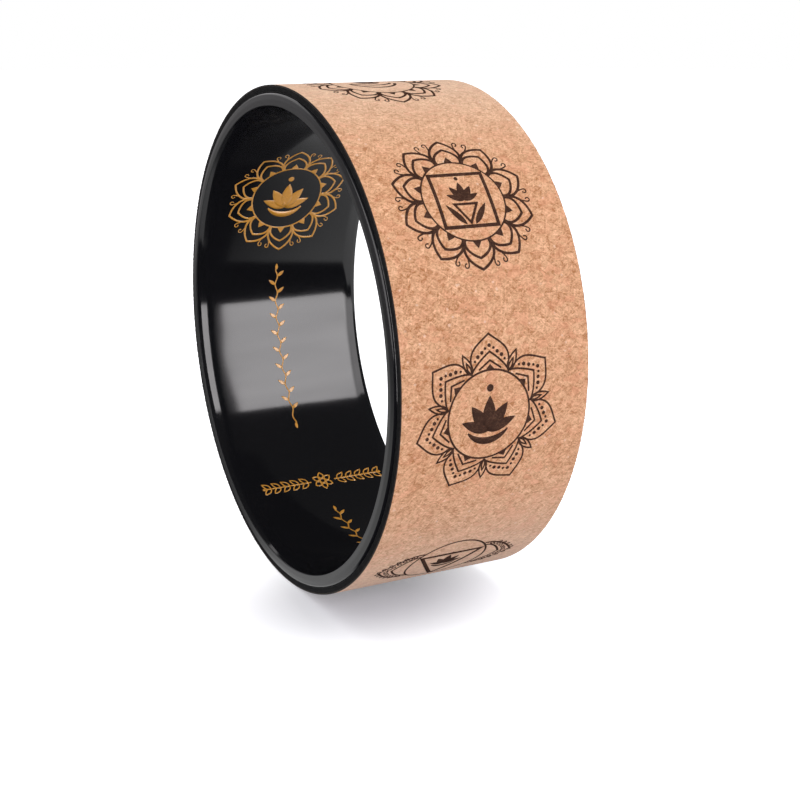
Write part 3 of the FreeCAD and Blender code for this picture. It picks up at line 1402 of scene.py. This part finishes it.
@dataclass(frozen=True)
class TwinMedallion(Medallion):
    """Two large petals at the sides, each with two outlines, loops between them and curls outside."""

    petals: int = 2
    ring: float = 27.0
    ring_line: float = 1.35
    bold: float = 1.5
    first: float = 90.0

    def petal_marks(self) -> list[Mark]:
        """One large petal with its loops and curls."""
        inner = bezier((14.6, 22.7), (14.6, 29.5), (7.4, 34.8), (0.0, 38.4), 22)
        outer = bezier((17.4, 21.6), (19.0, 31.5), (9.4, 42.0), (0.0, 47.4), 41)
        marks: list[Mark] = [Line(both_sides(inner), self.bold), Line(both_sides(outer), self.bold)]
        middle = bezier((16.3, 24.4), (16.8, 31.2), (8.4, 38.6), (0.0, 42.9), 41)
        mirror = np.array([-1.0, 1.0])
        for k in (6, 12, 18, 24, 30, 35):
            loop = arc(tuple(middle[k]), 1.25, 0.0, 330.0, 12)
            marks += [Line(loop, self.fine, True), Line(loop * mirror, self.fine, True)]
        marks.append(Line(arc((0.0, 42.5), 1.4, 0.0, 330.0, 12), self.fine, True))
        for k in (14, 20, 26, 32, 37):
            x, y = outer[k]
            stem = straight((x, y), (x + 0.9, y + 2.0), 0.6)
            hook = joined(stem, arc((x - 0.1, y + 2.0), 1.0, 0.0, 210.0, 9))
            marks += [Line(hook, self.fine), Line(hook * mirror, self.fine)]
        return marks


@dataclass(frozen=True)
class RayMedallion(Medallion):
    """Many narrow petals with an outline and a vein, and a bead in each gap."""

    tip: float = 44.0
    bold: float = 1.3

    def petal_marks(self) -> list[Mark]:
        """The outline and the vein."""
        lean = math.pi / self.petals
        foot = self.ring + 0.6
        x, y = foot * math.sin(lean), foot * math.cos(lean)
        high = self.tip - y
        half = bezier((x, y), (1.45 * x, y + 0.40 * high), (0.75 * x, y + 0.78 * high), (0.0, self.tip), 18)
        vein = straight((0.0, self.ring), (0.0, self.ring + 0.55 * high), 2.0)
        return [Line(both_sides(half), self.bold), Line(vein, np.linspace(1.3, 0.5, len(vein)))]

    def gap_marks(self) -> list[Mark]:
        """A bead near the tips."""
        return [dot(0.0, self.tip - 1.2, 0.85)]


@dataclass(frozen=True)
class Wrap:
    """Lays a flat design, in millimetres, on a cylinder about Y: across is along the axis, up is round it."""

    radius: float
    angle: float
    along: float
    inside: bool = False

    def place(self, points: Array) -> Array:
        """Bends the points onto the cylinder.

        Up is towards the top of the wheel on the tread's +X side and on the bore's -X side. The angle is the
        height up the design divided by the radius, and the height of the ink is added along the normal.

        Args:
            points: Points (across, up, height) in millimetres.

        Returns:
            Points in metres.
        """
        sign = -1.0 if self.inside else 1.0
        turn = math.radians(self.angle) + sign * points[:, 1] * MM / self.radius
        out = self.radius + sign * points[:, 2] * MM
        along = self.along + points[:, 0] * MM
        return np.column_stack([out * np.cos(turn), along, out * np.sin(turn)])


@dataclass
class Print:
    """Ink on one of the wheel's faces, from a base to a top in millimetres: designs and the place of each."""

    name: str
    slot: str
    base: float = -0.12
    top: float = 0.05
    designs: list[tuple[list[Mark], Wrap]] = field(default_factory=list)

    def build(self, finish: bpy.types.Material) -> bpy.types.Object:
        """Wraps every mark and gathers them into one mesh.

        Args:
            finish: The ink.

        Returns:
            The print.
        """
        points, quads, tris, count = [], [], [], 0
        for marks, wrap in self.designs:
            for mark in marks:
                flat, four, three = mark.shell(self.base, self.top)
                points.append(wrap.place(flat))
                quads.append(four + count)
                tris.append(three + count)
                count += len(flat)
        ink = new_object(self.name, np.vstack(points), np.vstack(quads), np.vstack(tris))
        ink.data.materials.append(finish)
        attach(ink, ROOT)
        return ink


def vine_marks(length: float) -> list[Mark]:
    """A slender vine: a waving stem with a leaf to each side in turn and a bud at its two ends.

    The stem's swing is a sine of its height, and each leaf grows from the stem at the end of a swing.

    Args:
        length: From end to end, in millimetres.

    Returns:
        Its marks, about its middle.
    """
    swing, step, bud = 0.9, 6.4, 5.0
    reach = length / 2 - bud
    high = np.linspace(-reach, reach, 120)
    marks: list[Mark] = [Line(np.column_stack([swing * np.sin(math.pi * high / step), high]), 0.9)]
    for k in range(-int(reach / step - 0.5), int(reach / step + 0.5)):
        side = 1.0 if k % 2 == 0 else -1.0
        foot = np.array([side * swing, (k + 0.5) * step])
        marks.append(Patch(turned(leaf(6.6, 1.3), side * -52.0) + foot))
    for turn in (0.0, 180.0):
        marks.append(Patch(turned(leaf(bud, 1.2, reach - 0.4), turn)))
    return marks


def garland_marks(length: float) -> list[Mark]:
    """A level garland: a small open flower in the middle and a row of paired leaves to each side.

    Args:
        length: From end to end, in millimetres.

    Returns:
        Its marks, about its middle.
    """
    marks: list[Mark] = [Line(arc((0.0, 0.0), 2.0, 0.0, 345.0, 24), 1.0, True)]
    marks += [Line(leaf(5.2, 2.1, 2.4), 1.0, True).turned(60.0 * k) for k in range(6)]
    for sign in (1.0, -1.0):
        marks.append(Line(straight((sign * 9.2, 0.0), (sign * (length / 2 - 2.4), 0.0)), 1.0))
        for x in np.arange(12.0, length / 2 - 6.0, 7.4):
            for lean in (-50.0, -130.0):
                blade = turned(leaf(7.2, 1.75), sign * lean) + np.array([sign * x, 0.0])
                marks.append(Line(blade, 0.9, True))
        marks.append(dot(sign * (length / 2 - 1.2), 0.0, 1.1))
    return marks


@dataclass
class Ornament:
    """All the printed ornament: medallions round the tread, gold ones, vines and garlands in the bore."""

    sizes: WheelSizes

    def tread_print(self) -> Print:
        """The tread's medallions by their angle and their place along the axis in millimetres.

        Returns:
            The print.
        """
        places = {
            (86.0, -2.1): CurlMedallion(10, Motif.CRESCENT),
            (39.43, -2.07): CurlMedallion(10, Motif.SQUARE),
            (-5.2, -5.3): BeadMedallion(7, Motif.LOTUS),
            (-49.1, -1.0): TwinMedallion(motif=Motif.TRIANGLE),
            (-95.0, -2.1): CurlMedallion(12, Motif.STAR),
            (-140.0, -2.1): RayMedallion(16, Motif.LOTUS),
            (176.0, -2.1): BeadMedallion(8, Motif.TRIANGLE),
            (131.0, -2.1): RayMedallion(20, Motif.STAR),
        }
        ink = Print("tread_print", "cork")
        for (angle, along), kind in places.items():
            ink.designs.append((kind.marks(), Wrap(self.sizes.tread, angle, along * MM)))
        return ink

    def bore_print(self) -> Print:
        """The bore's gold medallions, vines and garlands, the same on both sides.

        Returns:
            The print.
        """
        ink = Print("bore_print", "hoop_plastic")
        medallion = CurlMedallion(10, Motif.LOTUS, ring=26.9, tip=44.9, inner_tip=38.0, bold=1.5, fine=0.7)
        places = {
            (148.9, -1.2): medallion.marks(),
            (195.1, -2.0): vine_marks(130.0),
            (238.2, 1.5): garland_marks(96.0),
            (273.0, -1.2): vine_marks(130.0),
        }
        for half in (0.0, 180.0):
            for (angle, along), marks in places.items():
                ink.designs.append((marks, Wrap(self.sizes.bore, angle + half, along * MM, True)))
        return ink


# Stage

class Axis(Enum):
    """A direction of the frame, as its place in a point."""

    X = 0
    Y = 1
    Z = 2


@dataclass(frozen=True)
class Panel:
    """A flat bright panel that only polished faces see, and only at their first bounce."""

    name: str
    corners: tuple[tuple[float, float, float], ...]
    glow: float
    axis: Axis
    bright_at: float
    dim_at: float
    dim_share: float
    cloud: float = 5.0
    tint: Colour = (1.0, 0.970, 0.985)

    def build(self) -> None:
        """Makes the panel, evenly bright up to a place along the axis and fading to a share past it."""
        points = np.array(self.corners)
        panel = new_object(self.name, points, np.arange(len(points))[None], np.empty((0, 3), int))
        material, bench = bare_material(self.name + "_glow")
        place = bench.add("ShaderNodeTexCoord").outputs["Object"]
        along = bench.split(place)[self.axis.value]
        fade = bench.span(along, self.bright_at, self.dim_at, 1.0, self.dim_share)
        cloud = bench.ramp(bench.noise(place, self.cloud, 3.0, 0.5), 0.3, 0.7, 0.90, 1.08)
        path = bench.add("ShaderNodeLightPath")
        once = bench.sums("LESS_THAN", path.outputs["Glossy Depth"], 1.5)
        shown = bench.times(once, self.glow)
        light = bench.glow(bench.times(shown, bench.times(fade, cloud)), self.tint)
        bench.feed(bench.add("ShaderNodeOutputMaterial").inputs[0], light)
        panel.data.materials.append(material)
        panel.visible_camera = False
        panel.visible_diffuse = False
        panel.visible_shadow = False
        panel.visible_transmission = False


def looked_at(bench: Bench, path: bpy.types.Node) -> Socket:
    """A mask of the rays that look straight at the backdrop, or at it through something clear."""
    return bench.sums("MAXIMUM", path.outputs["Is Camera Ray"], path.outputs["Is Transmission Ray"])


@dataclass(frozen=True)
class Paper:
    """White paper that keeps the wheel's shadow near it and is plain white further off.

    Polished faces see it as a sheet with slanted edges, which is brightest away from the wheel; behind the
    wheel its dimming is a painted shadow of the wheel.
    """

    colour: Colour = (0.83, 0.825, 0.88)
    shadow_x: float = 0.055
    shadow_y: float = -0.03
    shadow_squeeze: float = 0.75
    shadow_from: float = 0.015
    shadow_to: float = 0.125
    shadow_lift: float = 0.19
    fan_x: float = 0.10
    fan_from: float = math.radians(17.0)
    fan_to: float = math.radians(31.0)
    fan_dim: float = 0.10
    fan_bright: float = 0.80
    near_slope: float = 0.30
    near_from: float = -0.44
    near_to: float = -0.36
    back_to: float = 0.27
    back_bright: float = 0.88
    right_slope: float = 0.367
    right_from: float = 0.106
    right_to: float = 0.126

    def whitening(self, bench: Bench, x: Socket, y: Socket) -> Socket:
        """The glow that whitens the paper, by the distance from the shadow's middle, shorter along the axis.

        Args:
            bench: The material's bench.
            x: Place along X.
            y: Place along Y.

        Returns:
            The glow's strength.
        """
        ahead = bench.minus(x, self.shadow_x)
        aside = bench.times(bench.minus(y, self.shadow_y), self.shadow_squeeze)
        squares = bench.plus(bench.sums("POWER", ahead, 2.0), bench.sums("POWER", aside, 2.0))
        return bench.span(
            bench.sums("SQRT", squares), self.shadow_from, self.shadow_to, self.shadow_lift, 1.0
        )

    def sheet(self, bench: Bench, x: Socket, y: Socket) -> Socket:
        """What polished faces see: in front of the wheel it brightens with the angle away from -X, as a fan.

        Behind the wheel it brightens with the distance along Y, a painted shadow of the wheel near it. Its
        near and right edges are slanted.

        Args:
            bench: The material's bench.
            x: Place along X.
            y: Place along Y.

        Returns:
            The sheet's brightness.
        """
        turn = bench.sums("ARCTAN2", bench.times(y, -1.0), bench.minus(self.fan_x, x))
        fan = bench.span(turn, self.fan_from, self.fan_to, self.fan_dim, self.fan_bright)
        near = bench.minus(y, bench.times(x, self.near_slope))
        front = bench.times(fan, bench.span(near, self.near_from, self.near_to))
        # painted shadow: behind the wheel the sheet is dark next to it and brightens away from it
        back = bench.span(y, 0.0, self.back_to, 0.0, self.back_bright)
        right = bench.minus(x, bench.times(y, self.right_slope))
        inside = bench.span(right, self.right_from, self.right_to, 1.0, 0.0)
        return bench.times(bench.sums("MAXIMUM", front, back), inside)

    def build(self) -> bpy.types.Material:
        """Makes the material."""
        material, bench = bare_material("white_paper")
        x, y, _ = bench.split(bench.add("ShaderNodeTexCoord").outputs["Object"])
        path = bench.add("ShaderNodeLightPath")
        paper = bench.add("ShaderNodeBsdfDiffuse")
        paper.inputs[0].default_value = (*self.colour, 1.0)
        shown = bench.times(looked_at(bench, path), self.whitening(bench, x, y))
        matt = bench.add("ShaderNodeAddShader")
        bench.feed(matt.inputs[0], paper.outputs[0])
        bench.feed(matt.inputs[1], bench.glow(shown))
        choice = bench.add("ShaderNodeMixShader")
        bench.feed(choice.inputs[0], path.outputs["Is Glossy Ray"])
        bench.feed(choice.inputs[1], matt.outputs[0])
        bench.feed(choice.inputs[2], bench.glow(self.sheet(bench, x, y)))
        bench.feed(bench.add("ShaderNodeOutputMaterial").inputs[0], choice.outputs[0])
        return material


@dataclass(frozen=True)
class Studio:
    """A white floor, soft lamps, the panels that the polished hoop mirrors, and the camera."""

    floor_z: float = -WheelSizes.tread
    camera_at: tuple[float, float, float] = (0.84717, -0.42845, 0.21392)
    camera_along: tuple[float, float, float] = (-0.85059, 0.45457, -0.26432)
    lens: float = 65.162
    sky: float = 0.465
    dim: float = 0.055

    def camera(self) -> None:
        """Puts the camera where the photograph was taken from, level, at its own lens."""
        data = bpy.data.cameras.new("camera")
        data.sensor_width = 36.0
        data.lens = self.lens
        data.clip_start = 0.01
        obj = bpy.data.objects.new("camera", data)
        obj.location = self.camera_at
        obj.rotation_euler = Vector(self.camera_along).to_track_quat("-Z", "Y").to_euler()
        bpy.context.scene.collection.objects.link(obj)
        bpy.context.scene.camera = obj

    def backdrop(self) -> None:
        """A world that is white to the camera, even to matt surfaces, and dim in polished ones."""
        world = bpy.data.worlds.new("white_studio")
        bpy.context.scene.world = world
        world.use_nodes = True
        bench = Bench(world.node_tree)
        sky = world.node_tree.nodes["Background"]
        path = bench.add("ShaderNodeLightPath")
        lit = bench.times(looked_at(bench, path), 1.0 - self.sky)
        shy = bench.times(path.outputs["Is Glossy Ray"], self.dim - self.sky)
        sky.inputs[0].default_value = (1.0, 1.0, 1.0, 1.0)
        bench.feed(sky.inputs[1], bench.plus(bench.plus(lit, shy), self.sky))

    def floor(self) -> None:
        """A wide disc, a ring of points at each of several radii."""
        sides = 96
        spread = np.array([0.4, 1.0, 2.0, 4.0, 8.0])
        turn = np.linspace(0.0, 2 * math.pi, sides, endpoint=False)
        ring = np.stack([np.outer(spread, np.cos(turn)), np.outer(spread, np.sin(turn))], axis=-1)
        flat = np.vstack([[[0.0, 0.0]], ring.reshape(-1, 2)])
        points = np.column_stack([flat, np.full(len(flat), self.floor_z)])
        here = np.arange(sides)
        tris = np.column_stack([np.zeros(sides, int), 1 + here, 1 + (here + 1) % sides])
        rank = np.arange(len(spread) - 1)
        quads = 1 + between_rings(rank, rank + 1, sides)[:, REVERSED]
        disc = new_object("floor", points, quads, tris)
        if disc.data.polygons[0].normal.z < 0:
            disc.data.flip_normals()
        disc.data.materials.append(Paper().build())

    def panels(self) -> None:
        """A window in front that stands on the floor, a soft box on the left and a dim wall behind."""
        low = self.floor_z
        front, left, back = 0.75, -1.2, -1.3
        window = ((front, -0.24, low), (front, 1.80, low), (front, 1.80, 1.07), (front, -0.24, 0.79))
        Panel("window_panel", window, 6.4, Axis.Y, bright_at=0.55, dim_at=0.95, dim_share=0.42).build()
        box = ((-0.60, left, -0.05), (0.75, left, -0.05), (0.75, left, 0.8), (-0.60, left, 0.8))
        Panel("left_panel", box, 2.4, Axis.X, bright_at=0.60, dim_at=0.75, dim_share=0.5).build()
        wall = ((back, -1.1, low), (back, 0.1, low), (back, 0.1, 1.3), (back, -1.1, 1.3))
        Panel("wall_panel", wall, 1.2, Axis.Z, bright_at=0.60, dim_at=0.25, dim_share=0.36).build()

    def lamp(self, name: str, at: tuple, size: float, watts: float) -> None:
        """A square soft lamp aimed at the wheel, which polished faces do not mirror.

        Args:
            name: Its name.
            at: Where it hangs.
            size: Length of its side.
            watts: Its power.
        """
        data = bpy.data.lights.new(name, "AREA")
        data.shape = "SQUARE"
        data.size = size
        data.energy = watts
        obj = bpy.data.objects.new(name, data)
        obj.location = at
        obj.rotation_euler = (-Vector(at)).to_track_quat("-Z", "Y").to_euler()
        obj.visible_camera = False
        obj.visible_glossy = False
        bpy.context.scene.collection.objects.link(obj)

    def build(self) -> None:
        """Sets the whole stage."""
        bpy.context.scene.view_settings.view_transform = "Standard"
        self.camera()
        self.backdrop()
        self.floor()
        self.panels()
        self.lamp("front_softbox", (1.5, -0.6, 0.9), 1.2, 7.2)
        self.lamp("right_softbox", (1.35, 0.9, 0.25), 0.9, 5.7)
        self.lamp("top_softbox", (-0.2, 0.1, 1.7), 1.4, 10.1)


def main() -> None:
    """Builds the wheel's layers, its prints and the stage, and reports each piece."""
    logging.basicConfig(level=logging.INFO, format="%(name)s: %(message)s")
    sizes = WheelSizes()
    grain, waver = ChipGrain(sizes.tread, sizes.cork_seam).build(), soft_waver_group()
    cork = PressedCork().build(grain)
    hoop = Hoop(sizes).build(GlossBlack().build(waver))
    pad = WoundStrip(
        name="foam_pad",
        node="cushion_pad",
        slot="pad_foam",
        inner=sizes.tape_out,
        outer=sizes.film_in,
        half_width=sizes.tread_half,
        edge_round=0.25 * MM,
        seam=sizes.pad_seam,
        gap=sizes.pad_gap,
        waver=0.10 * MM,
        bulge=0.25 * MM,
        seed=11,
    ).build(CutFoam().build())
    tread = WoundStrip(
        name="cork_skin",
        node="cork_tread",
        slot="cork",
        inner=sizes.film_out,
        outer=sizes.tread,
        half_width=sizes.tread_half,
        edge_round=sizes.cork_round,
        seam=sizes.cork_seam,
        gap=sizes.cork_gap,
        waver=0.12 * MM,
        bulge=0.0,
        seed=23,
    ).build(cork)
    glue = {
        "bonding_tape": GlueLayer("black_bonding_tape", (0.013, 0.013, 0.014), (0.026, 0.026, 0.027)),
        "adhesive_film": GlueLayer("amber_adhesive_film", (0.045, 0.027, 0.016), (0.07, 0.042, 0.025)),
    }
    for node, layer in glue.items():
        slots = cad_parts[node].data.materials
        slots.clear()
        slots.append(layer.build())
    ornament = Ornament(sizes)
    on_tread = ornament.tread_print().build(PrintInk().build(grain))
    in_bore = ornament.bore_print().build(GoldInk().build(waver))
    for piece in (hoop, pad, tread, on_tread, in_bore):
        LOG.info("%s: %d faces", piece.name, len(piece.data.polygons))
    Studio().build()


if __name__ == "__main__":
    main()
